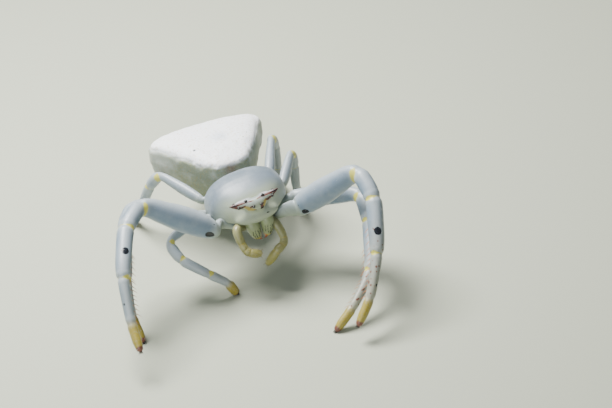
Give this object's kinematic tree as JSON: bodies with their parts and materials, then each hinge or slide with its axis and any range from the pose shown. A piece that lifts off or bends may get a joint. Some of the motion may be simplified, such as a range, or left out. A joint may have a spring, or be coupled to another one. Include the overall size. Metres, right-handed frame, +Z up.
{
  "type": "crab spider",
  "caption": "White crab spider in its ambush stance: front legs held open, horned brow, broad flat-backed abdomen, on its own feet.",
  "frame": {"origin": "on the ground, under the middle of the leg span", "axes": "+Z up, the spider faces -Y and its left side is +X"},
  "size_m": [0.0142, 0.017, 0.0065],
  "materials": {
    "face": "satin, slightly translucent",
    "leg_skin": "satin, slightly translucent",
    "foot_skin": "satin, yellow towards the tip",
    "jaw_skin": "satin",
    "palp_skin": "satin, slightly translucent",
    "abdomen_white": "matte",
    "eye": "glossy"
  },
  "bodies": {
    "root": {"abdomen": "abdomen_white", "carapace": "face", "chelicera_left": "jaw_skin", "chelicera_right": "jaw_skin", "eye_back_inner_left": "eye", "eye_back_inner_right": "eye", "eye_back_outer_left": "eye", "eye_back_outer_right": "eye", "eye_front_inner_left": "eye", "eye_front_inner_right": "eye", "eye_front_outer_left": "eye", "eye_front_outer_right": "eye", "horn_left": "face", "horn_right": "face", "leg_1_left_coxa": "leg_skin", "leg_1_left_femur": "leg_skin", "leg_1_left_foot": "foot_skin", "leg_1_left_patella": "leg_skin", "leg_1_left_tibia": "leg_skin", "leg_1_right_coxa": "leg_skin", "leg_1_right_femur": "leg_skin", "leg_1_right_foot": "foot_skin", "leg_1_right_patella": "leg_skin", "leg_1_right_tibia": "leg_skin", "leg_2_left_coxa": "leg_skin", "leg_2_left_femur": "leg_skin", "leg_2_left_foot": "foot_skin", "leg_2_left_patella": "leg_skin", "leg_2_left_tibia": "leg_skin", "leg_2_right_coxa": "leg_skin", "leg_2_right_femur": "leg_skin", "leg_2_right_foot": "foot_skin", "leg_2_right_patella": "leg_skin", "leg_2_right_tibia": "leg_skin", "leg_3_left_coxa": "leg_skin", "leg_3_left_femur": "leg_skin", "leg_3_left_foot": "foot_skin", "leg_3_left_patella": "leg_skin", "leg_3_left_tibia": "leg_skin", "leg_3_right_coxa": "leg_skin", "leg_3_right_femur": "leg_skin", "leg_3_right_foot": "foot_skin", "leg_3_right_patella": "leg_skin", "leg_3_right_tibia": "leg_skin", "leg_4_left_coxa": "leg_skin", "leg_4_left_femur": "leg_skin", "leg_4_left_foot": "foot_skin", "leg_4_left_patella": "leg_skin", "leg_4_left_tibia": "leg_skin", "leg_4_right_coxa": "leg_skin", "leg_4_right_femur": "leg_skin", "leg_4_right_foot": "foot_skin", "leg_4_right_patella": "leg_skin", "leg_4_right_tibia": "leg_skin", "pedicel": "leg_skin", "pedipalp_left": "palp_skin", "pedipalp_right": "palp_skin", "spinnerets": "leg_skin", "sternum": "leg_skin"}
  },
  "joints": []
}
